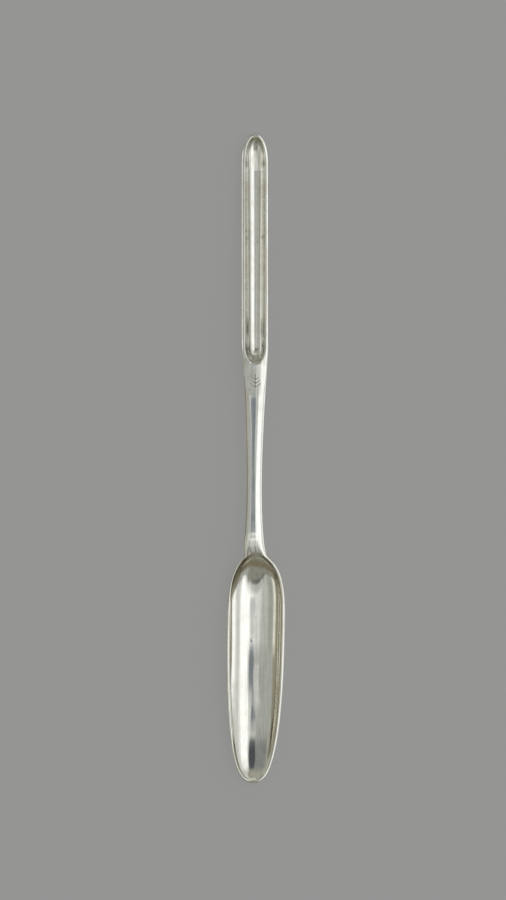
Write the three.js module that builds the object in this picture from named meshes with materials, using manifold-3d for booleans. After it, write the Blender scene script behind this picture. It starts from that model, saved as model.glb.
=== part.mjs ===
// Silver marrow scoop, lying on its back with both hollows open upwards.
// A long bowl for large bones and a narrow channel for small ones share one waisted stem.
// Millimetres, +Z up, +Y from the bowl's tip to the channel's tip.
// Every section stands square to Y at a station: its distance from the bowl's tip.
import * as THREE from 'three';
import { mergeVertices } from 'three/addons/utils/BufferGeometryUtils.js';
import Module from 'manifold-3d';

const wasm = await Module();
wasm.setup();

// Lengths of the three parts of the forging
const bowlLength = 83;
const stemLength = 51;
const channelLength = 91;

// Bowl
const bowlWidth = 20.3;
const bowlDepth = 6.4;            // below its widest line
const bowlWidest = 54;            // station of the widest section
const bowlNeck = 3.5;             // solid neck between the round of the bowl and its joint
const bowlDeepest = 46;           // station of the lowest floor
const bowlTipRise = 1.7;          // how much the floor comes up towards the tip
const bowlHeelRise = 0.6;         // and towards the heel
const bowlRim = 0.95;             // width of the rim
const bowlWall = 1.1;             // thickness of the floor
const bowlHeelWall = 3.6;         // silver left between the hollow's end and the joint
const bowlLean = 0.65;            // the worn tip stands this far to the left
const bowlPivot = 39.5;           // station where the leaning bowl crosses the stem's axis

// Stem
const waistWidth = 5.5;
const waistFromBowl = 20;         // joint of the bowl to the narrowest section
const neckFlare = 1.2;            // how much wider each side of the stem gets at the bowl
const stemDepth = 1.9;            // below its widest line
const stemCrown = 1.25;           // above its widest line
const stemRise = 1.1;             // the stem's widest line above the bowl's
const stemLevel = 3;              // joint of the bowl to where the stem runs level
const stemLean = 0.4;             // the stem stands this far to the left at the bowl

// Channel
const channelWidth = 9.6;
const channelDepth = 4.5;         // below its widest line
const channelWall = 1.1;
const channelRim = 1.45;
const panelLength = 13;           // flat panel between the joint and the full rim
const panelWall = 11.2;           // silver between the joint and the hollow's end
const channelFlare = 17;          // joint to the full width
const channelTipRound = 12;       // length over which the tip draws in
const channelRamp = 11.5;         // length over which the floor comes up to the tip
const channelRest = 80;           // joint to the place that touches the table
const channelCut = 6;             // length of the round cut that ends the hollow at the stem
const channelKeel = 18;           // joint to the full depth of the keel

// Shared by both scoops
const rimRoll = 0.75;             // height of the rolled edge above the widest line
const tipSoftness = 0.5;          // how far in from the bowl's tip its point is softened
const tipRoll = 0.9;              // length over which the rolled edge runs out at both tips
const bowlWear = 0.2;             // depth worn flat where the bowl rests
const channelWear = 0.1;          // and where the channel rests
const joinClearance = 0.3;        // solder space under the drop

// Lengths over which one form melts into the next
const shoulderBlend = 8;
const bendReach = 8;
const floorReach = 6;
const panelBlend = 9;
const heelReach = 1;              // how far the round of the heel reaches onto the stem
const heelFillet = 2.5;
const keelReach = 2;              // how far the keel reaches onto the stem
const keelFillet = 1.5;
const neckFillet = 2;             // in plan, between bowl and stem
const flareFillet = 0.5;          // in plan, where the flare meets the channel's side

// Drop: the tongue soldered under the heel, over the joint of bowl and stem
const dropLength = 16;
const dropWidth = 6.4;
const dropThickness = 0.9;
const dropOnStem = 7;             // how far it reaches along the stem

// Shape exponents: 2 is an ellipse, more is fuller
const sideFullness = 2.4;
const hollowFullness = 2.8;
const channelFullness = 2.7;
const rimFullness = 5;
const crownFullness = 3;
const flareCurve = 1.8;
const rimSpread = 0.8;            // draws the points of the top towards the rims

// How a size runs out to a rounded end: fullness of the curve, then bluntness of its tip
const bowlTip = [2.4, 0.345];
const bowlShoulder = [3.38, 0.51];
const bowlTipFloor = [6, 0.42];
const bowlHeel = [2.8, 0.5];
const hollowShoulder = [3.9, 0.66];
const hollowHeel = [3.3, 0.62];
const channelTip = [2.6, 0.5];
const channelTipKeel = [2.2, 0.5];
const channelStemKeel = [2.2, 0.8];
const cutOutline = [2, 0.5];
const cutFloor = [2.4, 0.6];
const hollowTip = [2.6, 0.5];
const rampFloor = [1.6, 0.7];
const dropNose = [4, 0.5];
const rollEnd = [2, 0.5];
const tipPull = 0.45;
const dropTail = 0.55;            // share of its size that the drop keeps on the stem

// Stations worked out from the lengths
const bowlJoint = bowlLength;
const channelJoint = bowlJoint + stemLength;
const overallLength = channelJoint + channelLength;
const shoulderEnd = bowlJoint - bowlNeck;
const waist = bowlJoint + waistFromBowl;
const channelFull = channelJoint + channelFlare;
const panelEnd = channelJoint + panelLength;
const channelHollowStart = channelJoint + panelWall;
const bowlHollowEnd = bowlJoint - bowlHeelWall;

const clamp = THREE.MathUtils.clamp;
const lerp = THREE.MathUtils.lerp;
const smoothstep = THREE.MathUtils.smoothstep;

// The larger of two sizes, with a fillet of about k where they are alike
function softMax(a, b, k) {
  const near = Math.max(k - Math.abs(a - b), 0) / k;
  return Math.max(a, b) + near * near * k / 4;
}

function softMin(a, b, k) {
  return -softMax(-a, -b, k);
}

// 0 before the bend, x after it, and a curve over one reach on each side
function softRamp(x, reach) {
  if (x <= -reach) return 0;
  return x >= reach ? x : (x + reach) ** 2 / (4 * reach);
}

// What is left of a size at a fraction v of the way to a rounded end
function roundEnd(v, [fullness, bluntness]) {
  return v >= 1 ? 0 : (1 - Math.max(v, 0) ** fullness) ** bluntness;
}

// Distance from the bowl's tip, shortened close to it so that the tip turns round
function softTip(distance) {
  return distance * (distance / (distance + tipSoftness)) ** tipPull;
}

// Plan outline: half the width at a station
function halfWidth(s) {
  if (s <= bowlWidest) return bowlWidth / 2 * roundEnd(1 - softTip(s) / bowlWidest, bowlTip);
  const bowl = bowlWidth / 2 * roundEnd((s - bowlWidest) / (shoulderEnd - bowlWidest), bowlShoulder);
  const toBowl = clamp((waist - s) / (waist - shoulderEnd), 0, 1.1);
  const toChannel = Math.max((s - waist) / (channelFull - waist), 0);
  const flare = neckFlare * toBowl ** 2 + (channelWidth - waistWidth) / 2 * toChannel ** flareCurve;
  const stem = softMin(waistWidth / 2 + flare, channelWidth / 2, flareFillet);
  const toTip = (s - overallLength + channelTipRound) / channelTipRound;
  return softMax(bowl, stem, neckFillet) * roundEnd(toTip, channelTip);
}

// Sideways drift: the bowl leans across the axis, and the stem beside it, up to the panel
function drift(s) {
  const bowl = bowlLean * (s / bowlPivot - 1) * (1 - smoothstep(s, shoulderEnd - shoulderBlend, bowlJoint));
  const onStem = smoothstep(s, shoulderEnd - shoulderBlend / 4, bowlJoint);
  return bowl - stemLean * onStem * (1 - smoothstep(s, bowlJoint, panelEnd));
}

// Height of the widest line: level along bowl and stem, then down to the table at the tip
const bowlEdge = bowlDepth - bowlWear;
const stemEdge = bowlEdge + stemRise;
const channelEdge = channelDepth - channelWear;
const channelSlope = (stemEdge - channelEdge) / channelRest;

function edgeHeight(s) {
  const rise = stemRise * smoothstep(s, shoulderEnd - shoulderBlend, bowlJoint + stemLevel);
  return bowlEdge + rise - channelSlope * softRamp(s - channelJoint, bendReach);
}

// How far the bowl's floor has come up from its lowest place
function floorRise(s) {
  const toTip = bowlTipRise * softRamp(bowlDeepest - s, floorReach) / bowlDeepest;
  return toTip + bowlHeelRise * softRamp(s - bowlDeepest, floorReach) / (bowlJoint - bowlDeepest);
}

// Depth of the outside below the widest line
function depth(s) {
  const bowl = bowlDepth - floorRise(s);
  if (s <= bowlWidest) return bowl * roundEnd(1 - s / bowlWidest, bowlTipFloor);
  const toHeel = (s - bowlWidest) / (bowlJoint + heelReach - bowlWidest);
  const toStem = (channelJoint + channelKeel - s) / (channelKeel + keelReach);
  const toTip = (s - overallLength + channelRamp + 1) / (channelRamp + 1);
  const bowlSide = softMax(bowl * roundEnd(toHeel, bowlHeel), stemDepth, heelFillet);
  const channelSide = channelDepth * roundEnd(toStem, channelStemKeel);
  return softMax(bowlSide, channelSide, keelFillet) * roundEnd(toTip, channelTipKeel);
}

// 1 along the crowned stem, 0 along the rims of both scoops
function crownShare(s) {
  const fromBowl = smoothstep(s, shoulderEnd - shoulderBlend / 2, bowlJoint + shoulderBlend / 2);
  return fromBowl * (1 - smoothstep(s, panelEnd - panelBlend * 2 / 3, panelEnd + panelBlend / 3));
}

function crownHeight(s) {
  const fromTip = Math.min(s, overallLength - s) / tipRoll;
  return lerp(rimRoll, stemCrown, crownShare(s)) * roundEnd(1 - fromTip, rollEnd);
}

// The panel is filed flat: from the crown's top at the joint down to the full rim
const panelTop = edgeHeight(channelJoint) + stemCrown;
const panelFoot = edgeHeight(panelEnd) + rimRoll;
const panelSlope = (panelTop - panelFoot) / panelLength;

function topLimit(s) {
  const plane = panelTop - panelSlope * (s - channelJoint);
  return s > panelEnd ? edgeHeight(s) + crownHeight(s) : plane;
}

// Height of the outside above and below the widest line, a fraction u of the way to the edge
function topHeight(s, u) {
  const fullness = lerp(rimFullness, crownFullness, crownShare(s));
  const dome = crownHeight(s) * (1 - u ** fullness) ** (1 / fullness);
  return Math.min(edgeHeight(s) + dome, topLimit(s));
}

function sideFullnessAt(s) {
  return lerp(sideFullness, channelFullness, smoothstep(s, waist, channelFull));
}

function bottomHeight(s, u) {
  const n = sideFullnessAt(s);
  return Math.max(edgeHeight(s) - depth(s) * (1 - u ** n) ** (1 / n), 0);
}

// One closed section of the outside, from its right edge over the top and back below
const topSteps = 12;
const bottomSteps = 18;

function outerRing(s) {
  const ring = [];
  const half = halfWidth(s);
  for (let i = 0; i < topSteps; i++) {
    const c = Math.cos(Math.PI * i / topSteps);
    const u = Math.min(Math.abs(c), 1) ** rimSpread;
    ring.push([drift(s) + Math.sign(c) * u * half, s, topHeight(s, u)]);
  }
  for (let i = 0; i < bottomSteps; i++) {
    const c = -Math.cos(Math.PI * i / bottomSteps);
    const u = Math.min(Math.abs(c), 1);
    ring.push([drift(s) + Math.sign(c) * u * half, s, bottomHeight(s, u)]);
  }
  return ring;
}

// Stations between two places, drawn together towards the ends that ask for it
function stations(from, to, count, closeStart, closeEnd) {
  const list = [];
  for (let i = 0; i <= count; i++) {
    const t = i / count;
    const start = closeStart ? 1 - Math.cos(t * Math.PI / 2) : t;
    const end = closeEnd ? Math.sin(t * Math.PI / 2) : t;
    const both = (1 - Math.cos(t * Math.PI)) / 2;
    list.push(lerp(from, to, closeStart && closeEnd ? both : closeStart ? start : end));
  }
  return list;
}

// A closed body through a list of rings; a ring of one point is a rounded tip
function loft(rings) {
  const points = [];
  const faces = [];
  const starts = rings.map((ring) => {
    points.push(...ring);
    return points.length - ring.length;
  });
  const cap = (ring, start, flip) => {
    if (ring.length === 1) return;
    const middle = points.length;
    const sum = ring.reduce((total, p) => total.map((value, k) => value + p[k]), [0, 0, 0]);
    points.push(sum.map((value) => value / ring.length));
    ring.forEach((p, i) => {
      const next = start + (i + 1) % ring.length;
      faces.push(flip ? [middle, next, start + i] : [middle, start + i, next]);
    });
  };
  cap(rings[0], starts[0], false);
  cap(rings.at(-1), starts.at(-1), true);
  for (let r = 0; r + 1 < rings.length; r++) {
    const sides = Math.max(rings[r].length, rings[r + 1].length);
    for (let i = 0; i < sides; i++) {
      const a = starts[r] + i % rings[r].length;
      const b = starts[r] + (i + 1) % rings[r].length;
      const c = starts[r + 1] + i % rings[r + 1].length;
      const d = starts[r + 1] + (i + 1) % rings[r + 1].length;
      if (a !== b) faces.push([a, d, b]);
      if (c !== d) faces.push([a, c, d]);
    }
  }
  const geometry = new THREE.BufferGeometry();
  geometry.setAttribute('position', new THREE.Float32BufferAttribute(points.flat(), 3));
  geometry.setIndex(faces.flat());
  return mergeVertices(geometry, 1e-4);
}

function solid(geometry) {
  return new wasm.Manifold(new wasm.Mesh({
    numProp: 3,
    vertProperties: geometry.attributes.position.array,
    triVerts: new Uint32Array(geometry.index.array),
  }));
}

function geometryOf(manifold) {
  const mesh = manifold.getMesh();
  const geometry = new THREE.BufferGeometry();
  geometry.setAttribute('position', new THREE.Float32BufferAttribute(mesh.vertProperties, 3));
  geometry.setIndex(new THREE.Uint32BufferAttribute(mesh.triVerts, 1));
  geometry.computeVertexNormals();
  return geometry;
}

// The tool that cuts a hollow: round below, straight and slightly open above
const hollowSteps = 16;
const hollowHeadroom = 2.5;
const hollowDraft = 0.05;

function hollowRing(s, half, deep, fullness) {
  const ring = [];
  const top = edgeHeight(s) + crownHeight(s);
  for (let i = 0; i <= hollowSteps; i++) {
    const angle = Math.PI * i / hollowSteps;
    const across = Math.sign(Math.cos(angle)) * Math.abs(Math.cos(angle)) ** (2 / fullness);
    const down = Math.sin(angle) ** (2 / fullness);
    ring.push([drift(s) - across * half, s, top - down * deep]);
  }
  const flare = half + hollowDraft * hollowHeadroom;
  ring.push([drift(s) + flare, s, top + hollowHeadroom]);
  ring.push([drift(s) - flare, s, top + hollowHeadroom]);
  return ring;
}

// Bowl hollow: parallel to the outside, with a steep end wall at the stem
function bowlHollow() {
  const start = bowlRim;
  const full = bowlDepth - bowlWall + rimRoll;
  const half = bowlWidth / 2 - bowlRim;
  const rings = stations(start, bowlHollowEnd, 42, true, true).slice(1, -1).map((s) => {
    const toTip = 1 - softTip(s - start) / (bowlWidest - start);
    const toStem = (s - bowlWidest) / (bowlHollowEnd - bowlWidest);
    const width = half * roundEnd(toTip, bowlTip) * roundEnd(toStem, hollowShoulder);
    const deep = (full - floorRise(s)) * roundEnd(toTip, bowlTipFloor) * roundEnd(toStem, hollowHeel);
    return hollowRing(s, width, deep, hollowFullness);
  });
  return loft(rings);
}

// Channel hollow: a round cut at the stem, and a floor that comes up to the tip
function channelHollow() {
  const end = overallLength - channelRim;
  const full = channelDepth - channelWall + rimRoll;
  const half = channelWidth / 2 - channelRim;
  const rings = stations(channelHollowStart, end, 42, true, true).slice(1, -1).map((s) => {
    const toStem = (channelHollowStart + channelCut - s) / channelCut;
    const toTip = (s - end + channelTipRound - channelRim) / (channelTipRound - channelRim);
    const upRamp = (s - end + channelRamp) / channelRamp;
    const width = half * roundEnd(toStem, cutOutline) * roundEnd(toTip, hollowTip);
    const deep = full * roundEnd(toStem, cutFloor) * roundEnd(upRamp, rampFloor);
    return hollowRing(s, width, deep, channelFullness);
  });
  return loft(rings);
}

function bowlShape() {
  const tip = [[drift(0), 0, edgeHeight(0)]];
  const rings = stations(0, bowlJoint, 46, true, false).slice(1).map(outerRing);
  return geometryOf(solid(loft([tip, ...rings])).subtract(solid(bowlHollow())));
}

function stemShape() {
  return geometryOf(solid(loft(stations(bowlJoint, channelJoint, 26, false, false).map(outerRing))));
}

function channelShape() {
  const tip = [[drift(overallLength), overallLength, edgeHeight(overallLength)]];
  const rings = stations(channelJoint, overallLength, 46, false, true).slice(0, -1).map(outerRing);
  return geometryOf(solid(loft([...rings, tip])).subtract(solid(channelHollow())));
}

// The drop follows the underside of bowl and stem at the solder clearance
function dropShape() {
  const start = bowlJoint + dropOnStem - dropLength;
  const end = bowlJoint + dropOnStem;
  const across = 8;
  const ringAt = (s) => {
    const v = (s - start) / dropLength;
    const half = dropWidth / 2 * roundEnd(1 - v, dropNose) * lerp(1, dropTail, v);
    const thick = dropThickness * roundEnd(1 - v, dropNose) * lerp(1, dropTail, v);
    const ring = [];
    const under = (x) => bottomHeight(s, Math.abs(x) / halfWidth(s)) - joinClearance;
    for (let i = 0; i <= across; i++) {
      const x = lerp(-half, half, i / across);
      ring.push([drift(s) + x, s, under(x)]);
    }
    for (let i = 1; i < across; i++) {
      const x = half * Math.cos(Math.PI * i / across);
      const dome = Math.sin(Math.PI * i / across);
      ring.push([drift(s) + x, s, under(x) - thick * dome]);
    }
    return ring.reverse();
  };
  const rings = stations(start, end, 18, true, false).slice(1).map(ringAt);
  const nose = [[drift(start), start, bottomHeight(start, 0) - joinClearance]];
  return geometryOf(solid(loft([nose, ...rings])));
}

// Old polished silver, a little duller inside the two scoops
const polished = { color: 0xd9d6cc, metalness: 1, roughness: 0.16 };
const worn = { color: 0xcfccc0, metalness: 1, roughness: 0.22 };
const back = { color: 0xc9c6bb, metalness: 1, roughness: 0.26 };

function piece(name, geometry, finish) {
  const mesh = new THREE.Mesh(geometry, new THREE.MeshStandardMaterial(finish));
  mesh.name = name;
  return mesh;
}

const scoop = new THREE.Group();
scoop.add(
  piece('bowl', bowlShape(), worn),
  piece('stem', stemShape(), polished),
  piece('channel', channelShape(), worn),
  piece('drop', dropShape(), back),
);

// The origin is on the table under the middle of the scoop
const middle = new THREE.Box3().setFromObject(scoop).getCenter(new THREE.Vector3());
scoop.position.set(-middle.x, -middle.y, 0);

export default scoop;
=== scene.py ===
# Marrow scoop: fine silver surfaces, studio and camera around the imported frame.
# Lengths in the first part are millimetres; a station is a distance from the bowl's tip.
import math

import bpy
import numpy as np
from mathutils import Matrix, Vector


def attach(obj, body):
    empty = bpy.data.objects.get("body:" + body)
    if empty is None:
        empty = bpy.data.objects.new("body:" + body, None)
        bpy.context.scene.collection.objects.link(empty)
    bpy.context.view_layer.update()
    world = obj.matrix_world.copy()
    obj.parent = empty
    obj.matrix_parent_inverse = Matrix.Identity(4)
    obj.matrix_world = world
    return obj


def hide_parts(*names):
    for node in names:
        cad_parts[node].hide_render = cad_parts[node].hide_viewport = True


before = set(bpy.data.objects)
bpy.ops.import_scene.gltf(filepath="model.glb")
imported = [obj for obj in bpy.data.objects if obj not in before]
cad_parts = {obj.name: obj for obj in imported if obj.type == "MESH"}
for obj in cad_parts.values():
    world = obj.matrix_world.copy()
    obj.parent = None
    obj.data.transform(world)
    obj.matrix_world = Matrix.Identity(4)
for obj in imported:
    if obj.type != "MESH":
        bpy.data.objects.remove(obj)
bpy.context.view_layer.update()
MM = 0.001

# Sizes of the real object, as in the solids
BOWL_LENGTH = 83.0
STEM_LENGTH = 51.0
CHANNEL_LENGTH = 91.0
BOWL_WIDTH = 20.3
BOWL_DEPTH = 6.4
BOWL_WIDEST = 54.0
BOWL_NECK = 3.5
BOWL_DEEPEST = 46.0
BOWL_TIP_RISE = 1.7
BOWL_HEEL_RISE = 0.6
BOWL_RIM = 0.95
BOWL_WALL = 1.1
BOWL_HEEL_WALL = 3.6
BOWL_LEAN = 0.65
BOWL_PIVOT = 39.5
WAIST_WIDTH = 5.5
WAIST_FROM_BOWL = 20.0
NECK_FLARE = 1.2
STEM_DEPTH = 1.9
STEM_CROWN = 1.25
STEM_RISE = 1.1
STEM_LEVEL = 3.0
STEM_LEAN = 0.4
CHANNEL_WIDTH = 9.6
CHANNEL_DEPTH = 4.5
CHANNEL_WALL = 1.1
CHANNEL_RIM = 1.45
PANEL_LENGTH = 13.0
PANEL_WALL = 11.2
CHANNEL_FLARE = 17.0
CHANNEL_TIP_ROUND = 12.0
CHANNEL_RAMP = 11.5
CHANNEL_REST = 80.0
CHANNEL_CUT = 6.0
CHANNEL_KEEL = 18.0
RIM_ROLL = 0.75
TIP_SOFTNESS = 0.5
TIP_ROLL = 0.9
TIP_PULL = 0.45
BOWL_WEAR = 0.2
CHANNEL_WEAR = 0.1
DROP_LENGTH = 16.0
DROP_WIDTH = 6.4
DROP_THICKNESS = 0.9
DROP_ON_STEM = 7.0
DROP_TAIL = 0.55
SHOULDER_BLEND = 8.0
BEND_REACH = 8.0
FLOOR_REACH = 6.0
PANEL_BLEND = 9.0
HEEL_REACH = 1.0
HEEL_FILLET = 2.5
KEEL_REACH = 2.0
KEEL_FILLET = 1.5
NECK_FILLET = 2.0
FLARE_FILLET = 0.5
FLARE_CURVE = 1.8
NECK_LIMIT = 1.1                  # how far past the shoulder the neck's flare goes on
KEEL_LEAD = 1.0                   # the channel's back starts to rise this far before the ramp
DROP_SOLDER = 0.3                 # thickness of the solder on the drop
DROP_FULLNESS = 0.8
SIDE_FULLNESS = 2.4
CHANNEL_FULLNESS = 2.7
CROWN_FULLNESS = 3.0

# Rounded ends: fullness of the curve, then bluntness of its tip
BOWL_TIP = (2.4, 0.345)
BOWL_SHOULDER = (3.38, 0.51)
BOWL_TIP_FLOOR = (6, 0.42)
BOWL_HEEL = (2.8, 0.5)
HOLLOW_SHOULDER = (3.9, 0.66)
HOLLOW_HEEL = (3.3, 0.62)
CHANNEL_TIP = (2.6, 0.5)
CHANNEL_TIP_KEEL = (2.2, 0.5)
CHANNEL_STEM_KEEL = (2.2, 0.8)
CUT_OUTLINE = (2, 0.5)
CUT_FLOOR = (2.4, 0.6)
HOLLOW_TIP = (2.6, 0.5)
DROP_NOSE = (4, 0.5)
ROLL_END = (2, 0.5)

# Only the fine surface has these
BOWL_ROLL = 0.55                  # width of the rolled outer edge
CHANNEL_ROLL = 0.9
HOLLOW_SKEW = 1.6                 # the floor of the bowl lies this far to the left at its middle
TIP_SKEW = 0.7                    # and this far near its tip
SKEW_CHANGE = (22.0, 38.0)        # stations between which it moves
CHANNEL_SKEW = -0.3
CROWN_SKEW = 0.25                 # the ridge of the stem lies this far to the left
SKEW_LIMIT = 0.3                  # most skew, as a share of the reach
LEAST_REACH = 1e-3
LEAST_ROLL = 1e-6
LEAST_HOLLOW = 1e-4
WALL_FULLNESS = (60.0, 10.0)      # steep walls of the bowl, left and right
WALL_SLANT = 0.15                 # least width over which a wall falls
WALL_KEPT = (0.22, 0.5)           # strip at the left wall that polishing leaves, and where that ends
RIM_FALL = 0.05                   # the bowl's left rim is worn lower inwards by this
RIM_FLAT = 0.4                    # over this width
WORN_RIM = (8.0, 18.0, 62.0, 74.0)   # stations where the wear of that rim starts, is whole, ends
RIGHT_LIP = 0.9                   # width of the slanting lip above the right wall
FLOOR_ROUND = 0.5                 # share of the bowl's depth that curves all the way across
FLOOR_CURVE = (2.6, 2.3)          # how that share curves, to the left and to the right
CHANNEL_ROUND = 0.1
CHANNEL_CURVE = (2.0, 2.0)
CHANNEL_TWIST = 0.05              # the channel is turned about its length by this slope
WORN_TIP_FLOOR = (3.4, 0.7)       # the bowl's floor towards its tip
FLOOR_LEVELLING = 0.3             # the channel's floor falls less than its rims
WORN_RAMP_FLOOR = (1.0, 0.45)     # and the channel's, which starts with a crease
PANEL_SOFTNESS = 0.12
PANEL_SWELL = 0.09                # the filed panel is this much fuller in its middle
PANEL_LEAD = 3.0                  # the filing begins this far before the joint
JOIN_DEPTH = 0.05                 # the drop's top is sunk this far into what carries it
POLISH = 0.17                     # how far polishing rounds every edge
KEPT_EDGE = 0.12                  # strip beside the outline that keeps its exact form
SOFT_EDGE = 0.45                  # strip beyond which the form is fully softened
HEADROOM = 30.0

# Ripples along the scoop: height, width, phase, sideways swing in radians
RIPPLES = (
    (0.0024, 1.7, 0.4, 1.9),
    (0.0022, 0.9, 2.1, 2.6),
    (0.0018, 0.55, 4.4, 3.4),
)
RIPPLE_LENGTH = 16.0
# Dents: distance from the middle, station, radius, depth
DENTS = (
    (1.9, 70.8, 1.0, 0.03),
    (-3.4, 72.2, 1.4, 0.03),
    (-1.5, 49.2, 0.35, 0.02),
    (2.6, 40.5, 1.8, 0.02),
)

# Engraved sprig on the panel, and the warm brown in the hollows: tarnish with a painted dark reflection,
# mostly on their right walls
SPRIG_START = 136.5
SPRIG_LENGTH = 4.8
SPRIG_MARGIN = 1.0
SPRIG_LEAVES = 3                  # pairs
LEAF_SPACING = 1.25
LEAF_SHRINK = 0.2
LEAF_REACH = 1.75
LEAF_RISE = 1.25
STROKE_POINTS = 15
STROKE_WIDTH = 0.13
STROKE_EDGE = 0.07
STROKE_DEPTH = 0.05
BOWL_TARNISH_AND_PAINTED_REFLECTION = (0.95, 0.75)         # distance from the edge of the hollow, spread
CHANNEL_TARNISH_AND_PAINTED_REFLECTION = (1.2, 0.5)
BOWL_TARNISH_AND_PAINTED_REFLECTION_ENDS = (4, 14, 70, 78)             # stations where it starts, is whole, fades, ends
CHANNEL_TARNISH_AND_PAINTED_REFLECTION_ENDS = (149, 158, 206, 213)
# The right walls face away from the soft box; the brown painted on them is partly tarnish, partly painted
# dark reflection.
RIGHT_TARNISH_AND_PAINTED_REFLECTION = 0.4                 # strength on the channel's right wall
LEFT_TARNISH_AND_PAINTED_REFLECTION = 0.1                  # strength on the channel's left wall
# Pits and dark residue: distance from the middle, station, half width, half length, strength
RESIDUE = (
    (0.4, 221.9, 0.45, 0.45, 0.55),
    (-0.1, 219.5, 0.4, 0.35, 0.5),
    (-2.6, 157.0, 0.34, 3.4, 0.9),
    (-2.6, 150.3, 0.5, 0.7, 0.6),
    (2.6, 151.4, 0.55, 1.5, 0.7),
    (2.5, 189.0, 0.3, 0.7, 0.6),
    (0.7, 187.3, 0.18, 0.35, 0.5),
    (3.0, 214.5, 0.4, 1.6, 0.6),
    (-3.0, 214.0, 0.35, 1.2, 0.5),
    (-1.65, 49.2, 0.3, 0.4, 0.6),
    (0.0, 57.1, 0.2, 0.3, 0.5),
    (2.3, 71.0, 0.25, 1.2, 0.5),
)

BOWL_JOINT = BOWL_LENGTH
CHANNEL_JOINT = BOWL_JOINT + STEM_LENGTH
LENGTH = CHANNEL_JOINT + CHANNEL_LENGTH
SHOULDER_END = BOWL_JOINT - BOWL_NECK
WAIST = BOWL_JOINT + WAIST_FROM_BOWL
CHANNEL_FULL = CHANNEL_JOINT + CHANNEL_FLARE
PANEL_END = CHANNEL_JOINT + PANEL_LENGTH
CHANNEL_HOLLOW_START = CHANNEL_JOINT + PANEL_WALL
CHANNEL_HOLLOW_END = LENGTH - CHANNEL_RIM
BOWL_HOLLOW_END = BOWL_JOINT - BOWL_HEEL_WALL


def lerp(a, b, t):
    return a + (b - a) * t


def smoothstep(x, low, high):
    t = min(max((x - low) / (high - low), 0.0), 1.0)
    return t * t * (3 - 2 * t)


def soft_max(a, b, k):
    near = max(k - abs(a - b), 0) / k
    return max(a, b) + near * near * k / 4


def soft_ramp(x, reach):
    if x <= -reach:
        return 0.0
    return x if x >= reach else (x + reach) ** 2 / (4 * reach)


def round_end(v, shape):
    fullness, bluntness = shape
    return 0.0 if v >= 1 else (1 - max(v, 0.0) ** fullness) ** bluntness


def soft_tip(distance):
    return distance * (distance / (distance + TIP_SOFTNESS)) ** TIP_PULL


def half_width(s):
    if s <= BOWL_WIDEST:
        return BOWL_WIDTH / 2 * round_end(1 - soft_tip(s) / BOWL_WIDEST, BOWL_TIP)
    bowl = BOWL_WIDTH / 2 * round_end((s - BOWL_WIDEST) / (SHOULDER_END - BOWL_WIDEST), BOWL_SHOULDER)
    to_bowl = min(max((WAIST - s) / (WAIST - SHOULDER_END), 0.0), NECK_LIMIT)
    to_channel = max((s - WAIST) / (CHANNEL_FULL - WAIST), 0.0)
    flare = NECK_FLARE * to_bowl**2 + (CHANNEL_WIDTH - WAIST_WIDTH) / 2 * to_channel**FLARE_CURVE
    stem = -soft_max(-WAIST_WIDTH / 2 - flare, -CHANNEL_WIDTH / 2, FLARE_FILLET)
    to_tip = (s - LENGTH + CHANNEL_TIP_ROUND) / CHANNEL_TIP_ROUND
    return soft_max(bowl, stem, NECK_FILLET) * round_end(to_tip, CHANNEL_TIP)


def drift(s):
    """How far the middle of a section lies to the right."""
    before_stem = 1 - smoothstep(s, SHOULDER_END - SHOULDER_BLEND, BOWL_JOINT)
    bowl_side = BOWL_LEAN * (s / BOWL_PIVOT - 1) * before_stem
    on_stem = smoothstep(s, SHOULDER_END - SHOULDER_BLEND / 4, BOWL_JOINT)
    return bowl_side - STEM_LEAN * on_stem * (1 - smoothstep(s, BOWL_JOINT, PANEL_END))


BOWL_EDGE = BOWL_DEPTH - BOWL_WEAR
STEM_EDGE = BOWL_EDGE + STEM_RISE
CHANNEL_SLOPE = (STEM_EDGE - CHANNEL_DEPTH + CHANNEL_WEAR) / CHANNEL_REST


def edge_height(s):
    rise = STEM_RISE * smoothstep(s, SHOULDER_END - SHOULDER_BLEND, BOWL_JOINT + STEM_LEVEL)
    return BOWL_EDGE + rise - CHANNEL_SLOPE * soft_ramp(s - CHANNEL_JOINT, BEND_REACH)


def floor_rise(s):
    to_tip = BOWL_TIP_RISE * soft_ramp(BOWL_DEEPEST - s, FLOOR_REACH) / BOWL_DEEPEST
    return to_tip + BOWL_HEEL_RISE * soft_ramp(s - BOWL_DEEPEST, FLOOR_REACH) / (BOWL_JOINT - BOWL_DEEPEST)


def depth(s):
    bowl = BOWL_DEPTH - floor_rise(s)
    if s <= BOWL_WIDEST:
        return bowl * round_end(1 - s / BOWL_WIDEST, BOWL_TIP_FLOOR)
    to_heel = (s - BOWL_WIDEST) / (BOWL_JOINT + HEEL_REACH - BOWL_WIDEST)
    to_stem = (CHANNEL_JOINT + CHANNEL_KEEL - s) / (CHANNEL_KEEL + KEEL_REACH)
    rising = CHANNEL_RAMP + KEEL_LEAD
    to_tip = (s - LENGTH + rising) / rising
    bowl_side = soft_max(bowl * round_end(to_heel, BOWL_HEEL), STEM_DEPTH, HEEL_FILLET)
    channel_side = CHANNEL_DEPTH * round_end(to_stem, CHANNEL_STEM_KEEL)
    return soft_max(bowl_side, channel_side, KEEL_FILLET) * round_end(to_tip, CHANNEL_TIP_KEEL)


def crown_share(s):
    from_bowl = smoothstep(s, SHOULDER_END - SHOULDER_BLEND / 2, BOWL_JOINT + SHOULDER_BLEND / 2)
    return from_bowl * (1 - smoothstep(s, PANEL_END - PANEL_BLEND * 2 / 3, PANEL_END + PANEL_BLEND / 3))


def crown_height(s):
    from_tip = min(s, LENGTH - s) / TIP_ROLL
    return lerp(RIM_ROLL, STEM_CROWN, crown_share(s)) * round_end(1 - from_tip, ROLL_END)


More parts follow.
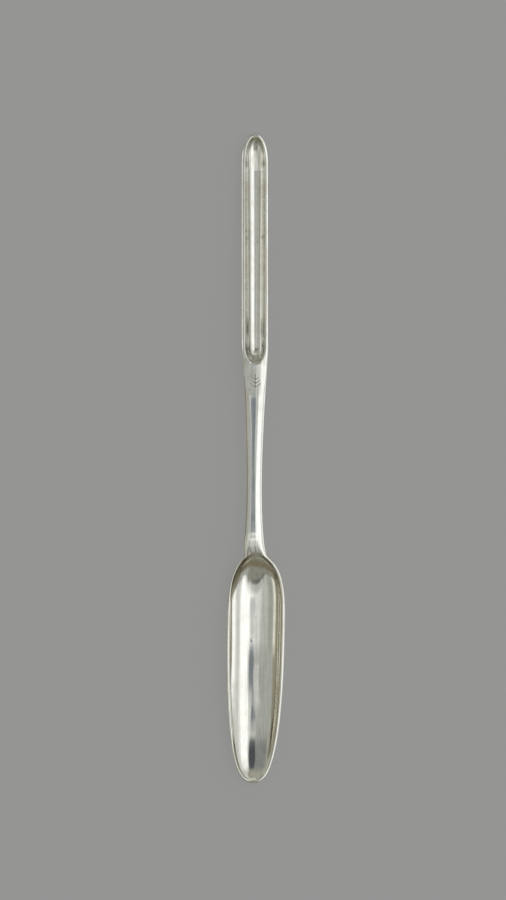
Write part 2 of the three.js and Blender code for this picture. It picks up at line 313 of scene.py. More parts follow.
PANEL_TOP = edge_height(CHANNEL_JOINT) + STEM_CROWN
PANEL_FOOT = edge_height(PANEL_END) + RIM_ROLL
PANEL_SLOPE = (PANEL_TOP - PANEL_FOOT) / PANEL_LENGTH


def top_limit(s):
    if s > PANEL_END:
        return edge_height(s) + RIM_ROLL
    return PANEL_TOP - PANEL_SLOPE * (s - CHANNEL_JOINT)


def side_fullness(s):
    return lerp(SIDE_FULLNESS, CHANNEL_FULLNESS, smoothstep(s, WAIST, CHANNEL_FULL))


def roll_width(s):
    """Width of the rounded outer edge: all of the stem, only the outside of a rim."""
    half = half_width(s)
    rim = lerp(BOWL_ROLL, CHANNEL_ROLL, smoothstep(s, WAIST, CHANNEL_FULL))
    return min(lerp(rim, half, crown_share(s)), half)


def hollow_at(s):
    """Half width and depth of the hollow at a station; no width where it is solid."""
    if BOWL_RIM < s < BOWL_HOLLOW_END:
        to_tip = 1 - soft_tip(s - BOWL_RIM) / (BOWL_WIDEST - BOWL_RIM)
        to_stem = (s - BOWL_WIDEST) / (BOWL_HOLLOW_END - BOWL_WIDEST)
        half = BOWL_WIDTH / 2 - BOWL_RIM
        half *= round_end(to_tip, BOWL_TIP) * round_end(to_stem, HOLLOW_SHOULDER)
        full = BOWL_DEPTH - BOWL_WALL + RIM_ROLL - floor_rise(s)
        return half, full * round_end(to_tip, WORN_TIP_FLOOR) * round_end(to_stem, HOLLOW_HEEL)
    if CHANNEL_HOLLOW_START < s < CHANNEL_HOLLOW_END:
        to_stem = (CHANNEL_HOLLOW_START + CHANNEL_CUT - s) / CHANNEL_CUT
        length = CHANNEL_TIP_ROUND - CHANNEL_RIM
        to_tip = (s - CHANNEL_HOLLOW_END + length) / length
        up_ramp = (s - CHANNEL_HOLLOW_END + CHANNEL_RAMP) / CHANNEL_RAMP
        half = CHANNEL_WIDTH / 2 - CHANNEL_RIM
        half *= round_end(to_stem, CUT_OUTLINE) * round_end(to_tip, HOLLOW_TIP)
        along = (s - CHANNEL_FULL) / (CHANNEL_HOLLOW_END - CHANNEL_RAMP - CHANNEL_FULL)
        levelling = FLOOR_LEVELLING * (1 - 2 * min(max(along, 0), 1))
        full = CHANNEL_DEPTH - CHANNEL_WALL + RIM_ROLL + levelling
        return half, full * round_end(to_stem, CUT_FLOOR) * round_end(up_ramp, WORN_RAMP_FLOOR)
    return 0.0, 0.0


# Points on each part of half a section, and how far the parts reach
UNDER_POINTS = 26
EDGE_POINTS = 12
INNER_POINTS = 66
EDGE_REACH = 0.8
EDGE_SHARE = 0.3
# Points lie closer together: distance inside the edge of the hollow, spread, how much closer
CROWDED = ((0.1, 0.4, 2.4), (0.9, 0.5, 1.3))
CROWD_STEPS = 400

# Grid of heights for the top
FIELD_STEP_X = 0.05
FIELD_STEP_S = 0.1
FIELD_SIDE = 212                  # steps to each side
FIELD_X = np.arange(-FIELD_SIDE, FIELD_SIDE + 1) * FIELD_STEP_X
FIELD_S = np.arange(0, int(LENGTH / FIELD_STEP_S) + 1) * FIELD_STEP_S


def panel_share(s):
    """How much of the top is filed flat, 0 on the stem."""
    return smoothstep(s, CHANNEL_JOINT - PANEL_LEAD, CHANNEL_JOINT + PANEL_LEAD)


def skewed(x, reach, shift):
    """Distance from the middle after the middle has moved by -shift, with both ends kept."""
    reach = max(reach, LEAST_REACH)
    shift = min(shift, reach * SKEW_LIMIT) if shift > 0 else max(shift, -reach * SKEW_LIMIT)
    return x + shift * (1 - (x / reach) ** 2)


def rim_wear(s):
    """How much the bowl's left rim is worn at a station."""
    start, whole, fading, end = WORN_RIM
    return smoothstep(s, start, whole) * (1 - smoothstep(s, fading, end))


def dome_line(s, x):
    """Height of the uncut top at distances x from the middle."""
    half = half_width(s)
    roll = roll_width(s)
    fullness = lerp(2, CROWN_FULLNESS, crown_share(s))
    across = np.abs(skewed(np.clip(x, -half, half), half, CROWN_SKEW * crown_share(s)))
    t = np.clip((across - (half - roll)) / max(roll, LEAST_ROLL), 0, 1)
    dome = edge_height(s) + crown_height(s) * (1 - t**fullness) ** (1 / fullness)
    fall = RIM_FALL * rim_wear(s) * np.clip((x + half - roll) / RIM_FLAT, 0, 1) ** 2
    dome = np.where(x < 0, dome - fall, dome)
    limit = top_limit(s) - PANEL_SWELL * panel_share(s) * (x / (WAIST_WIDTH / 2)) ** 2
    near = np.maximum(PANEL_SOFTNESS - np.abs(dome - limit), 0) / PANEL_SOFTNESS
    filed = np.minimum(dome, limit) - near * near * PANEL_SOFTNESS / 4
    return lerp(dome, filed, panel_share(s))


def hollow_line(s, x):
    """Height of the hollow at distances x from the middle, far above it where there is none."""
    wide, deep = hollow_at(s)
    if min(wide, deep) < LEAST_HOLLOW:
        return np.full(len(x), HEADROOM)
    if s < BOWL_JOINT:
        shift = lerp(TIP_SKEW, HOLLOW_SKEW, smoothstep(s, *SKEW_CHANGE))
        round_part, curves, fullness = FLOOR_ROUND, FLOOR_CURVE, WALL_FULLNESS
        lip = RIGHT_LIP * wide / (BOWL_WIDTH / 2 - BOWL_RIM)
    else:
        shift, lip = CHANNEL_SKEW, 0.0
        round_part, curves, fullness = CHANNEL_ROUND, CHANNEL_CURVE, (CHANNEL_FULLNESS,) * 2
    shift = min(max(shift, -wide * SKEW_LIMIT), wide * SKEW_LIMIT)
    on_left = x < -shift
    reach = np.where(on_left, wide - shift, wide + shift)
    wall_reach = np.where(on_left, reach, reach - lip)
    curve = np.where(on_left, *curves)
    fullness = np.where(on_left, *fullness)
    u = np.minimum(np.abs(x + shift) / reach, 1)
    wall = np.minimum(np.abs(x + shift) / wall_reach, 1)
    steep = np.minimum((1 - wall**fullness) ** (1 / fullness), (1 - wall) * wall_reach / WALL_SLANT)
    shape = (1 - round_part) * steep + round_part * (1 - u**curve)
    ridge = edge_height(s) + crown_height(s)
    return np.where(np.abs(x) < wide, ridge - deep * shape, HEADROOM)


def twist(s):
    """Slope across the channel."""
    from_panel = smoothstep(s, PANEL_END - PANEL_BLEND / 3, PANEL_END + PANEL_BLEND)
    return CHANNEL_TWIST * from_panel * (1 - smoothstep(s, LENGTH - CHANNEL_TIP_ROUND, LENGTH))


def worn_marks(x, s):
    """Faint ripples along the scoop and a few dents, as heights."""
    height = np.zeros(len(x))
    for size, wave, turn, swing in RIPPLES:
        height += size * np.sin(2 * math.pi * x / wave + turn + swing * math.sin(s / RIPPLE_LENGTH + turn))
    for at_x, at_s, radius, size in DENTS:
        height -= size * np.exp(-((x - at_x) ** 2 + (s - at_s) ** 2) / radius**2)
    return height


def sprig_strokes():
    """Lines of a small engraved sprig on the panel, each a row of points (x, station)."""
    t = np.linspace(0, 1, STROKE_POINTS)
    strokes = [np.stack([np.zeros(STROKE_POINTS), SPRIG_START + SPRIG_LENGTH * t], 1)]
    for index in range(SPRIG_LEAVES):
        root = SPRIG_START + LEAF_SPACING * (index + 0.5)
        size = 1 - LEAF_SHRINK * index
        for side in (-1, 1):
            strokes.append(np.stack([side * LEAF_REACH * size * t, root + LEAF_RISE * size * t**2], 1))
    return strokes


def engraved(x, s):
    """Share of the engraved lines, 0 to 1, at points of one station."""
    share = np.zeros(len(x))
    if not SPRIG_START - SPRIG_MARGIN < s < SPRIG_START + SPRIG_LENGTH + SPRIG_MARGIN:
        return share
    for stroke in SPRIG:
        a, b = stroke[:-1], stroke[1:]
        step = b - a
        from_a = np.stack([x, np.full(len(x), s)], 1)[:, None, :] - a[None]
        along = np.clip((from_a * step).sum(2) / (step * step).sum(1), 0, 1)
        gap = np.linalg.norm(from_a - along[..., None] * step, axis=2).min(1)
        share = np.maximum(share, np.clip((STROKE_WIDTH - gap) / STROKE_EDGE, 0, 1))
    return share


SPRIG = sprig_strokes()


def tarnish_and_painted_reflection(x, s):
    """Share of warm brown, 0 to 1, at points of one station: tarnish on the walls that a cloth misses,
    with a painted dark reflection that puts most on the right walls, which face away from the soft box.
    """
    wide, deep = hollow_at(s)
    if deep <= 0:
        return np.zeros(len(x))
    if s < BOWL_JOINT:
        start, whole, fading, end = BOWL_TARNISH_AND_PAINTED_REFLECTION_ENDS
        inside, spread = BOWL_TARNISH_AND_PAINTED_REFLECTION
        strength = 1.0
        # In the bowl only the right wall gets it: painted dark reflection there, along with tarnish.
        depth_in = wide - x
    else:
        start, whole, fading, end = CHANNEL_TARNISH_AND_PAINTED_REFLECTION_ENDS
        inside, spread = CHANNEL_TARNISH_AND_PAINTED_REFLECTION
        strength = np.where(x < 0, LEFT_TARNISH_AND_PAINTED_REFLECTION, RIGHT_TARNISH_AND_PAINTED_REFLECTION)
        depth_in = wide - np.abs(x)
    fade = smoothstep(s, start, whole) * (1 - smoothstep(s, fading, end))
    return fade * strength * np.exp(-((depth_in - inside) / spread) ** 2)


def residue(x, s):
    """Share of dark residue, 0 to 1, at points of one station."""
    share = np.zeros(len(x))
    for at_x, at_s, half, length, strength in RESIDUE:
        away = ((x - at_x) / half) ** 2 + ((s - at_s) / length) ** 2
        share = np.maximum(share, strength * np.exp(-away))
    return share


def top_field():
    """Heights of the whole top on a grid, softened as hand polishing softens every edge."""
    field = []
    for s in FIELD_S:
        top = np.minimum(dome_line(s, FIELD_X), hollow_line(s, FIELD_X))
        field.append(top + twist(s) * FIELD_X + worn_marks(FIELD_X, s))
    field = np.array(field)
    for axis, step in ((0, FIELD_STEP_S), (1, FIELD_STEP_X)):
        reach = int(round(3 * POLISH / step))
        weights = np.exp(-0.5 * (np.arange(-reach, reach + 1) * step / POLISH) ** 2)
        weights /= weights.sum()
        pad = [(0, 0), (0, 0)]
        pad[axis] = (reach, reach)
        padded = np.pad(field, pad, mode="edge")
        size = field.shape[axis]
        parts = [w * np.take(padded, np.arange(i, i + size), axis=axis) for i, w in enumerate(weights)]
        field = np.sum(parts, axis=0)
    return field


def field_at(field, s, x):
    row = min(max(s / FIELD_STEP_S, 0), len(FIELD_S) - 1.001)
    low = int(row)
    heights = lerp(field[low], field[low + 1], row - low)
    return np.interp(x, FIELD_X, heights)


def across_points(half, wide):
    """Distances from the middle over one half, from the edge inwards: close together at rim and wall."""
    edge = min(EDGE_REACH, EDGE_SHARE * half)
    turn = np.linspace(0, math.pi / 2, EDGE_POINTS + 1)[1:]
    x = np.linspace(half - edge, 0, CROWD_STEPS)
    crowd = np.ones(CROWD_STEPS)
    for inside, spread, extra in CROWDED:
        crowd += extra * np.exp(-((x - wide + inside) / spread) ** 2)
    count = np.concatenate([[0], np.cumsum((crowd[1:] + crowd[:-1]) / 2)])
    inner = np.interp(np.linspace(0, count[-1], INNER_POINTS + 1)[1:], count, x)
    return np.concatenate([half - edge + edge * np.cos(turn), inner])


def section(s, field):
    """Closed ring of one station, from the middle of the back round the right side."""
    half = half_width(s)
    fullness = side_fullness(s)
    angle = np.linspace(0, math.pi / 2, UNDER_POINTS)
    under_x = half * np.sin(angle) ** (2 / fullness)
    under_z = np.maximum(edge_height(s) - depth(s) * np.cos(angle) ** (2 / fullness), 0)
    wide = hollow_at(s)[0]
    right = across_points(half, wide)
    top_x = np.concatenate([right, -right[-2::-1]])
    exact = np.minimum(dome_line(s, top_x), hollow_line(s, top_x))
    inward = np.minimum(half - np.abs(top_x), min(s, LENGTH - s))
    share = np.clip((inward - KEPT_EDGE) / (SOFT_EDGE - KEPT_EDGE), 0, 1)
    share = share * share * (3 - 2 * share)
    kept, free = WALL_KEPT
    from_wall = np.clip((np.abs(top_x + wide) - kept) / (free - kept), 0, 1)
    share *= lerp(1, from_wall * from_wall * (3 - 2 * from_wall), rim_wear(s))
    top_z = lerp(exact, field_at(field, s, top_x), share)
    cut = engraved(top_x, s)
    top_z -= STROKE_DEPTH * cut
    # Warm brown share: tarnish with a painted dark reflection on the right walls of the hollows.
    tarnish_and_painted_reflection_share = tarnish_and_painted_reflection(top_x, s)
    ring_x = np.concatenate([under_x, top_x, -under_x[:0:-1]])
    ring_z = np.concatenate([under_z, top_z, under_z[:0:-1]])
    under, back = np.zeros(UNDER_POINTS), np.zeros(UNDER_POINTS - 1)
    dark = np.maximum(cut, residue(top_x, s))
    marks = [np.concatenate([under, mark, back]) for mark in (tarnish_and_painted_reflection_share, dark)]
    return [(x + drift(s), s, z) for x, z in zip(ring_x, ring_z)], marks


def stations(low, high, count, close_low=False, close_high=False):
    """Places between two stations, drawn together where a form runs out."""
    t = np.linspace(0, 1, count + 1)
    if close_low:
        t = 1 - np.cos(t * math.pi / 2)
    elif close_high:
        t = np.sin(t * math.pi / 2)
    return [float(v) for v in low + (high - low) * t]


LEAST_STEP = 2e-3


def merged(*lists):
    """One rising list of stations without near repeats."""
    out = []
    for s in sorted(v for part in lists for v in part):
        if not out or s - out[-1] > LEAST_STEP:
            out.append(s)
    return out


def silver_piece(name, rings, pole_first=None, pole_last=None, marks=None):
    """Closed mesh through the rings, with a rounded tip or a flat cap at each end."""
    points = [p for ring in rings for p in ring]
    count = len(rings[0])
    faces = []
    for r in range(len(rings) - 1):
        a, b = r * count, (r + 1) * count
        for i in range(count):
            j = (i + 1) % count
            faces.append((a + i, a + j, b + j, b + i))
    caps = []
    for pole, start, flip in ((pole_first, 0, False), (pole_last, len(points) - count, True)):
        if pole is None:
            loop = list(range(start, start + count))
            caps.append(len(faces))
            faces.append(tuple(loop if flip else reversed(loop)))
        else:
            points.append(pole)
            tip = len(points) - 1
            for i in range(count):
                j = (i + 1) % count
                faces.append((tip, start + j, start + i) if not flip else (tip, start + i, start + j))
    mesh = bpy.data.meshes.new(name)
    placed = [((x + SHIFT_X) * MM, (y - LENGTH / 2) * MM, z * MM) for x, y, z in points]
    mesh.from_pydata(placed, [], faces)
    mesh.polygons.foreach_set("use_smooth", [i not in caps for i in range(len(faces))])
    mesh.update()
    rims = {key for i in caps for key in mesh.polygons[i].edge_keys}
    sharp = mesh.attributes.new("sharp_edge", "BOOLEAN", "EDGE")
    sharp.data.foreach_set("value", [tuple(sorted(e.vertices)) in rims for e in mesh.edges])
    for label, values in zip(("tarnish_and_painted_reflection", "engraving"), marks or ()):
        layer = mesh.attributes.new(label, "FLOAT", "POINT")
        filled = np.concatenate(values)
        layer.data.foreach_set("value", np.pad(filled, (0, len(points) - len(filled))))
    piece = bpy.data.objects.new(name, mesh)
    bpy.context.scene.collection.objects.link(piece)
    return piece


def lofted(name, places, field, **poles):
    """The piece through the sections at these stations, with their tarnish and painted dark reflection,
    residue and engraving.
    """
    rings, marks = zip(*(section(s, field) for s in places))
    return silver_piece(name, rings, marks=list(zip(*marks)), **poles)


# The solids stand with the middle of their box on the origin
WIDEST_SEARCH = (20, 80, 241)
widest = [(drift(s) - half_width(s), drift(s) + half_width(s)) for s in np.linspace(*WIDEST_SEARCH)]
SHIFT_X = -(min(w[0] for w in widest) + max(w[1] for w in widest)) / 2

# Sections along each piece, closer together at the tips and under the sprig
BOWL_FRONT = 12.0
RIM_SECTIONS = 16
FRONT_SECTIONS = 70
BOWL_SECTIONS = 260
STEM_SECTIONS = 120
CHANNEL_SECTIONS = 290
SPRIG_SECTIONS = 90
TIP_SECTIONS = 90
SPRIG_ENDS = (SPRIG_START - 0.3, SPRIG_START + SPRIG_LENGTH + 0.6)

bowl_stations = merged(
    stations(0, BOWL_RIM, RIM_SECTIONS, close_low=True)[1:],
    stations(BOWL_RIM, BOWL_FRONT, FRONT_SECTIONS, close_low=True),
    stations(BOWL_FRONT, BOWL_JOINT, BOWL_SECTIONS),
)
stem_stations = stations(BOWL_JOINT, CHANNEL_JOINT, STEM_SECTIONS)
channel_stations = merged(
    stations(CHANNEL_JOINT, LENGTH - CHANNEL_TIP_ROUND, CHANNEL_SECTIONS),
    stations(*SPRIG_ENDS, SPRIG_SECTIONS),
    stations(LENGTH - CHANNEL_TIP_ROUND, LENGTH, TIP_SECTIONS, close_high=True)[:-1],
)

tops = top_field()
bowl_pole = (drift(0), 0, edge_height(0))
channel_pole = (drift(LENGTH), LENGTH, edge_height(LENGTH))
bowl = lofted("silver_bowl", bowl_stations, tops, pole_first=bowl_pole)
stem = lofted("silver_stem", stem_stations, tops)
channel = lofted("silver_channel", channel_stations, tops, pole_last=channel_pole)


def back_height(s, x):
    """Height of the underside of bowl and stem."""
    n = side_fullness(s)
    u = min(abs(x) / half_width(s), 1.0)
    return max(edge_height(s) - depth(s) * (1 - u**n) ** (1 / n), 0)


DROP_UNDER_POINTS = 25
DROP_TOP_POINTS = 13
DROP_SECTIONS = 50
DROP_END = BOWL_JOINT + DROP_ON_STEM
DROP_START = DROP_END - DROP_LENGTH


def drop_ring(s):
    """Section of the drop, bedded on the back of bowl and stem."""
    v = (s - DROP_START) / DROP_LENGTH
    size = round_end(1 - v, DROP_NOSE) * lerp(1, DROP_TAIL, v)
    half, thick = DROP_WIDTH / 2 * size, DROP_THICKNESS * size
    ring = []
    for t in np.linspace(0, math.pi, DROP_UNDER_POINTS):
        x = half * math.cos(t)
        hang = (DROP_SOLDER + thick) * math.sin(t) ** DROP_FULLNESS
        ring.append((drift(s) + x, s, back_height(s, x) - hang + JOIN_DEPTH))
    for t in np.linspace(math.pi, 0, DROP_TOP_POINTS)[1:-1]:
        x = half * math.cos(t)
        ring.append((drift(s) + x, s, back_height(s, x) + JOIN_DEPTH))
    return ring[::-1]


drop_stations = stations(DROP_START, DROP_END, DROP_SECTIONS, close_low=True)[1:]
drop_pole = (drift(DROP_START), DROP_START, back_height(DROP_START, 0))
drop = silver_piece("silver_drop", [drop_ring(s) for s in drop_stations], pole_first=drop_pole)


def node_tools(tree):
    """Short ways to add a node, to link two sockets and to mix two colours."""

    def add(kind, **values):
        node = tree.nodes.new(kind)
        for key, value in values.items():
            if key in node.inputs:
                node.inputs[key].default_value = value
            else:
                setattr(node, key, value)
        return node

    def mixed(share, under, over, kind="MIX"):
        node = add("ShaderNodeMix", data_type="RGBA", blend_type=kind)
        tree.links.new(share, node.inputs[0])
        for index, value in ((6, under), (7, over)):
            if isinstance(value, tuple):
                node.inputs[index].default_value = (*value, 1)
            else:
                tree.links.new(value, node.inputs[index])
        return node.outputs[2]

    return add, tree.links.new, mixed


def new_material(name):
    material = bpy.data.materials.new(name)
    material.use_nodes = True
    material.node_tree.nodes.clear()
    return material


# What darkens the bare silver: warm tarnish with a painted dark reflection on the right walls of the
# hollows, rubbed streaks, cut lines and residue
TARNISH_AND_PAINTED_REFLECTION = (0.52, 0.475, 0.38)
STREAK = (0.86, 0.865, 0.86)
ENGRAVED = (0.10, 0.097, 0.09)
# Noises: scale over a metre, detail, roughness
SCRATCH_NOISE = ((2600, 130, 2600), 4.0, 0.6)
STREAK_NOISE = ((1300, 22, 1300), 3.0, 0.6)
CLOUD_NOISE = (260.0, 5.0, 0.55)
BROAD_NOISE = (70.0, 2.0, 0.5)
# The noise's low and high end, then what they stand for
DULL_RANGE = (0.45, 0.8, 0.0, 1.0)
STREAK_RANGE = (0.48, 0.66, 0.0, 1.0)
PATCHY_RANGE = (0.3, 0.6, 0.55, 1.0)
ROUGH_RANGE = (0.3, 0.75)
ROUGH_SHARES = (0.8, 1.5)
# Bumps: strength, height in metres
SCRATCH_BUMP = (0.06, 0.00002)
DENT_BUMP = (0.12, 0.0002)


def silver(name, tint, dull, roughness):
    """Old polished silver: fine scratches and streaks along the scoop, soft dents, warm tarnish with a
    painted dark reflection.
    """
    material = new_material(name)
    add, link, mixed = node_tools(material.node_tree)
    place = add("ShaderNodeTexCoord").outputs["Object"]

    def noise(scale, detail, rough):
        at = place
        if isinstance(scale, tuple):
            stretch = add("ShaderNodeMapping")
            stretch.inputs["Scale"].default_value = scale
            link(place, stretch.inputs[0])
            at, scale = stretch.outputs[0], 1.0
        node = add("ShaderNodeTexNoise", Scale=scale, Detail=detail, Roughness=rough)
        link(at, node.inputs["Vector"])
        return node.outputs[0]

    def ranged(value, *ends):
        node = add("ShaderNodeMapRange")
        for key, end in zip(("From Min", "From Max", "To Min", "To Max"), ends):
            node.inputs[key].default_value = end
        link(value, node.inputs[0])
        return node.outputs[0]

    def mark(label):
        return add("ShaderNodeAttribute", attribute_name=label).outputs["Fac"]

    lines = noise(*SCRATCH_NOISE)
    cloud = noise(*CLOUD_NOISE)
    broad = noise(*BROAD_NOISE)
    patchy = add("ShaderNodeMath", operation="MULTIPLY")
    link(mark("tarnish_and_painted_reflection"), patchy.inputs[0])
    link(ranged(broad, *PATCHY_RANGE), patchy.inputs[1])
    colour = mixed(ranged(cloud, *DULL_RANGE), tint, dull)
    colour = mixed(ranged(noise(*STREAK_NOISE), *STREAK_RANGE), colour, STREAK, "MULTIPLY")
    # Warm brown of tarnish and painted dark reflection, patchy, where the mesh marks it
    colour = mixed(patchy.outputs[0], colour, TARNISH_AND_PAINTED_REFLECTION, "MULTIPLY")
    colour = mixed(mark("engraving"), colour, ENGRAVED)

    scratch = add("ShaderNodeBump", Strength=SCRATCH_BUMP[0], Distance=SCRATCH_BUMP[1])
    link(lines, scratch.inputs["Height"])
    dents = add("ShaderNodeBump", Strength=DENT_BUMP[0], Distance=DENT_BUMP[1])
    link(broad, dents.inputs["Height"])
    link(scratch.outputs[0], dents.inputs["Normal"])

    shader = add("ShaderNodeBsdfPrincipled", Metallic=1.0)
    rough = [roughness * share for share in ROUGH_SHARES]
    link(colour, shader.inputs["Base Color"])
    link(ranged(cloud, *ROUGH_RANGE, *rough), shader.inputs["Roughness"])
    link(dents.outputs[0], shader.inputs["Normal"])
    link(shader.outputs[0], add("ShaderNodeOutputMaterial").inputs[0])
    return material


bright = silver("bright_silver", (0.95, 0.95, 0.925), (0.84, 0.835, 0.79), 0.08)
inner = silver("inner_silver", (0.95, 0.95, 0.92), (0.83, 0.82, 0.765), 0.075)
trough = silver("trough_silver", (0.95, 0.945, 0.915), (0.82, 0.80, 0.735), 0.13)

for piece, node, slot, material in (
    (bowl, "bowl", "worn_silver", inner),
    (stem, "stem", "polished_silver", bright),
    (channel, "channel", "worn_silver", trough),
    (drop, "drop", "polished_silver", bright),
):
    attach(piece, "root")
    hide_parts(node)
    piece.data.materials.append(material)

# Floor: its own colour is partly held where it is seen or mirrored, so the shadow stays faint
FLOOR_COLOUR = (0.37, 0.37, 0.37)
SHADOW_KEPT = 0.35
FLOOR_SIDE = 12.0
mesh = bpy.data.meshes.new("floor")
corners = [(-1, -1, 0), (1, -1, 0), (1, 1, 0), (-1, 1, 0)]
mesh.from_pydata([Vector(c) * FLOOR_SIDE for c in corners], [], [(0, 1, 2, 3)])
floor = bpy.data.objects.new("floor", mesh)
bpy.context.scene.collection.objects.link(floor)
paint = new_material("floor_paint")
add, link, mixed = node_tools(paint.node_tree)
matt = add("ShaderNodeBsdfDiffuse", Color=(*FLOOR_COLOUR, 1))
plain = add("ShaderNodeEmission", Color=(*FLOOR_COLOUR, 1))
rays = add("ShaderNodeLightPath").outputs
mirrored = add("ShaderNodeMath", operation="MAXIMUM")
link(rays["Is Glossy Ray"], mirrored.inputs[0])
link(rays["Is Transmission Ray"], mirrored.inputs[1])
shown = add("ShaderNodeMath", operation="MAXIMUM")
link(rays["Is Camera Ray"], shown.inputs[0])
link(mirrored.outputs[0], shown.inputs[1])
held = add("ShaderNodeMath", operation="MULTIPLY")
held.inputs[1].default_value = 1 - SHADOW_KEPT
link(shown.outputs[0], held.inputs[0])
mix = add("ShaderNodeMixShader")
link(held.outputs[0], mix.inputs[0])
link(matt.outputs[0], mix.inputs[1])
link(plain.outputs[0], mix.inputs[2])
link(mix.outputs[0], add("ShaderNodeOutputMaterial").inputs[0])
mesh.materials.append(paint)

# Studio: what the silver mirrors, by direction
world = bpy.data.worlds.new("studio")
bpy.context.scene.world = world
world.use_nodes = True
world.node_tree.nodes.clear()
add, link, blend = node_tools(world.node_tree)


def math_node(operation, *values):
    node = add("ShaderNodeMath", operation=operation)
    for index, value in enumerate(values):
        if isinstance(value, (int, float)):
            node.inputs[index].default_value = value
        else:
            link(value, node.inputs[index])
    return node.outputs[0]


def ramp(value, low, high):
    """0 below low, 1 above high, smooth between; the other way round where high is the smaller."""
    node = add("ShaderNodeMapRange", interpolation_type="SMOOTHSTEP")
    node.inputs["From Min"].default_value = low
    node.inputs["From Max"].default_value = high
    link(value, node.inputs[0])
    return node.outputs[0]


def degrees(value, low, high):
    return ramp(value, math.radians(low), math.radians(high))


def layered(colour, steps, value):
    """The steps of a room's side, one over the other: where each starts, is whole, and its grey."""
    for low, high, grey in steps:
        colour = blend(degrees(value, low, high), colour, grey)
    return colour


def product(*shares):
    out = shares[0]
    for share in shares[1:]:
        out = math_node("MULTIPLY", out, share)
    return out


def oval(centre, reach, rim):
    """Share of an oval patch of the sky, by tilt and forward, with a soft rim."""
    squares = []
    for value, middle, half in zip((tilt, forward), centre, reach):
        part = math_node("DIVIDE", math_node("SUBTRACT", value, math.radians(middle)), math.radians(half))
        squares.append(math_node("MULTIPLY", part, part))
    return ramp(math_node("SQRT", math_node("ADD", *squares)), *rim)


# Greys of the room by degrees off overhead, to the left: towards the bowl, overhead, towards the channel
ROOM_BEHIND = (
    (-1, -6, (0.68, 0.69, 0.655)),
    (-13, -18, (0.475, 0.485, 0.445)),
    (-28, -34, (0.345, 0.35, 0.305)),
    (-42, -49, (0.80, 0.785, 0.69)),
    (-52, -59, (0.33, 0.30, 0.215)),
    (-62, -70, (0.25, 0.225, 0.155)),
)
ROOM_MIDDLE = (
    (-1, -9, (0.385, 0.39, 0.36)),
    (-42, -50, (0.28, 0.26, 0.20)),
    (-62, -74, (0.22, 0.20, 0.14)),
)
ROOM_AHEAD = (
    (-30, -39, (0.36, 0.355, 0.295)),
    (-43, -52, (0.10, 0.098, 0.075)),
    (-60, -72, (0.14, 0.125, 0.085)),
)
CEILING_BEHIND = (0.86, 0.87, 0.83)
CEILING = (0.56, 0.57, 0.54)
CEILING_AHEAD = (0.23, 0.24, 0.225)
# Patches of the room ahead
PALE_PATCH = (0.60, 0.61, 0.58)
PALE_OVAL = ((-8, 3.3), (6, 2.3), (1.2, 0.7))
WALL_AHEAD = (0.35, 0.345, 0.295)
LIT_AHEAD = (0.62, 0.60, 0.51)
LOW_AHEAD = (0.27, 0.27, 0.23)
# Patches of the room behind, which the bowl's heel mirrors
HEEL_EDGE = (0.46, 0.465, 0.43)
HEEL_SHADE = (0.25, 0.25, 0.215)
HAIRLINE = (0.13, 0.13, 0.12)
WALL_BEHIND = (0.185, 0.163, 0.108)
LOW_BEHIND = (0.225, 0.22, 0.175)
# The right side
SOFTBOX = (1.12, 1.12, 1.09)
GAP = (0.61, 0.61, 0.58)
WHITE_WALL = (1.04, 1.04, 1.01)
WALL_RIGHT_AHEAD = (0.50, 0.50, 0.45)
WALL_RIGHT_BEHIND = (0.37, 0.37, 0.335)
LOW_RIGHT = (1.0, 1.0, 0.97)
SIDE_WALL = (0.21, 0.19, 0.14)
SIDE_WALL_FOOT = (0.115, 0.105, 0.08)
# The camera and its arm: colours, then ovals as middle and reach by tilt and forward, and rim
CAMERA_BLUR = (0.52, 0.53, 0.52)
CAMERA_BODY = (0.18, 0.20, 0.22)
CAMERA_ARM = (0.065, 0.073, 0.08)
BLUR_OVAL = ((-0.8, -7.5), (3.6, 3.6), (1.3, 0.6))
BODY_OVALS = (((-0.7, 0.9), (3.4, 3.7), (1.2, 0.7)), ((-0.7, 7.1), (2.6, 1.9), (1.2, 0.7)))
ARM_OVAL = ((0.7, 18.5), (5.9, 8.4), (1.1, 0.85))
ARC_SAG = 15                      # degrees by which the heel's bands curve up at their sides
ARC_SIDES = (6, 32)

parts = add("ShaderNodeSeparateXYZ")
link(add("ShaderNodeTexCoord").outputs["Generated"], parts.inputs[0])
dx, dy, dz = parts.outputs
tilt = math_node("ARCTAN2", dx, dz)          # radians from overhead towards the right
forward = math_node("ARCTAN2", dy, dz)       # and towards the channel's tip
sag = math_node("MULTIPLY", degrees(math_node("ABSOLUTE", tilt), *ARC_SIDES), math.radians(ARC_SAG))
arc = math_node("ADD", forward, sag)

sky = layered(CEILING_BEHIND, ROOM_BEHIND, tilt)
sky = blend(degrees(forward, -4, 0.5), sky, layered(CEILING, ROOM_MIDDLE, tilt))
sky = blend(degrees(forward, 10.5, 14), sky, layered(CEILING_AHEAD, ROOM_AHEAD, tilt))
sky = blend(oval(*PALE_OVAL), sky, PALE_PATCH)
sky = blend(degrees(forward, 24, 32), sky, WALL_AHEAD)
sky = blend(product(degrees(tilt, -14, -6), degrees(forward, 45, 50)), sky, LIT_AHEAD)
sky = blend(product(degrees(tilt, -22, -16), degrees(arc, -11, -15)), sky, HEEL_EDGE)
sky = blend(degrees(arc, -19, -22.5), sky, HEEL_SHADE)
hairline = product(degrees(arc, -18.5, -20), degrees(arc, -25, -22.5))
hairline = product(hairline, degrees(tilt, -26, -20), degrees(tilt, 2, -3))
sky = blend(hairline, sky, HAIRLINE)

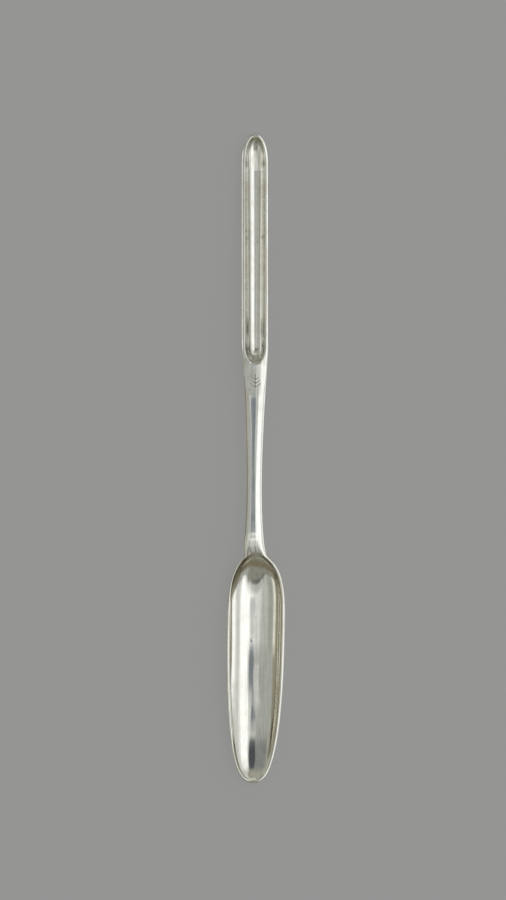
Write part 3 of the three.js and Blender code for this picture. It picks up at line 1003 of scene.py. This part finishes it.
# To the right, a wide soft box, a grey gap and then a white wall
wall = blend(degrees(forward, 3, 12), WHITE_WALL, WALL_RIGHT_AHEAD)
wall = blend(degrees(tilt, 54, 68), GAP, wall)
wall = blend(degrees(arc, -14, -24), wall, WALL_RIGHT_BEHIND)
sky = blend(degrees(tilt, 8, 14), sky, wall)
box_edge = blend(degrees(forward, -3.5, -0.5), degrees(tilt, -5, 9), degrees(tilt, 3, 8.5))
softbox = product(box_edge, degrees(tilt, 48, 28), degrees(arc, -26, -10), degrees(forward, 36, 18))
sky = blend(softbox, sky, SOFTBOX)

# Low down all round, and the side wall behind to the right
sky = blend(degrees(forward, -46, -58), sky, WALL_BEHIND)
sky = blend(degrees(forward, -66, -80), sky, LOW_BEHIND)
sky = blend(degrees(forward, 56, 64), sky, LOW_AHEAD)
sky = blend(product(degrees(tilt, 66, 78), degrees(forward, 12, 3)), sky, LOW_RIGHT)
side_wall = blend(degrees(forward, -54, -66), SIDE_WALL, SIDE_WALL_FOOT)
side_share = product(degrees(tilt, 52, 64), degrees(forward, -34, -45), degrees(forward, -84, -76))
sky = blend(side_share, sky, side_wall)

# The camera and its arm overhead
sky = blend(oval(*BLUR_OVAL), sky, CAMERA_BLUR)
for body_oval in BODY_OVALS:
    sky = blend(oval(*body_oval), sky, CAMERA_BODY)
sky = blend(product(oval(*ARM_OVAL), degrees(forward, 11, 13.2)), sky, CAMERA_ARM)
glow = add("ShaderNodeBackground")
link(sky, glow.inputs[0])
link(glow.outputs[0], add("ShaderNodeOutputWorld").inputs[0])

# Camera straight above, as in the photograph
PHOTO_HEIGHT = 900
SCOOP_PIXELS = 650
MM_PER_PIXEL = LENGTH / SCOOP_PIXELS
PHOTO_MIDDLE = (252.5, 449.5)
SCOOP_MIDDLE = (255.3, 457.2)
CAMERA_HEIGHT = 1.2
OUTLINE_LEVEL = 5.0               # millimetres above the floor, where the scoop is widest
SENSOR = 36.0
VIEW_END = 20
camera = bpy.data.objects.new("camera", bpy.data.cameras.new("camera"))
bpy.context.scene.collection.objects.link(camera)
camera.data.sensor_width = SENSOR
camera.data.lens = SENSOR * (CAMERA_HEIGHT / MM - OUTLINE_LEVEL) / (PHOTO_HEIGHT * MM_PER_PIXEL)
camera.location = (
    (PHOTO_MIDDLE[0] - SCOOP_MIDDLE[0]) * MM_PER_PIXEL * MM,
    (SCOOP_MIDDLE[1] - PHOTO_MIDDLE[1]) * MM_PER_PIXEL * MM,
    CAMERA_HEIGHT,
)
camera.data.clip_end = VIEW_END
bpy.context.scene.camera = camera
bpy.context.scene.view_settings.view_transform = "Standard"
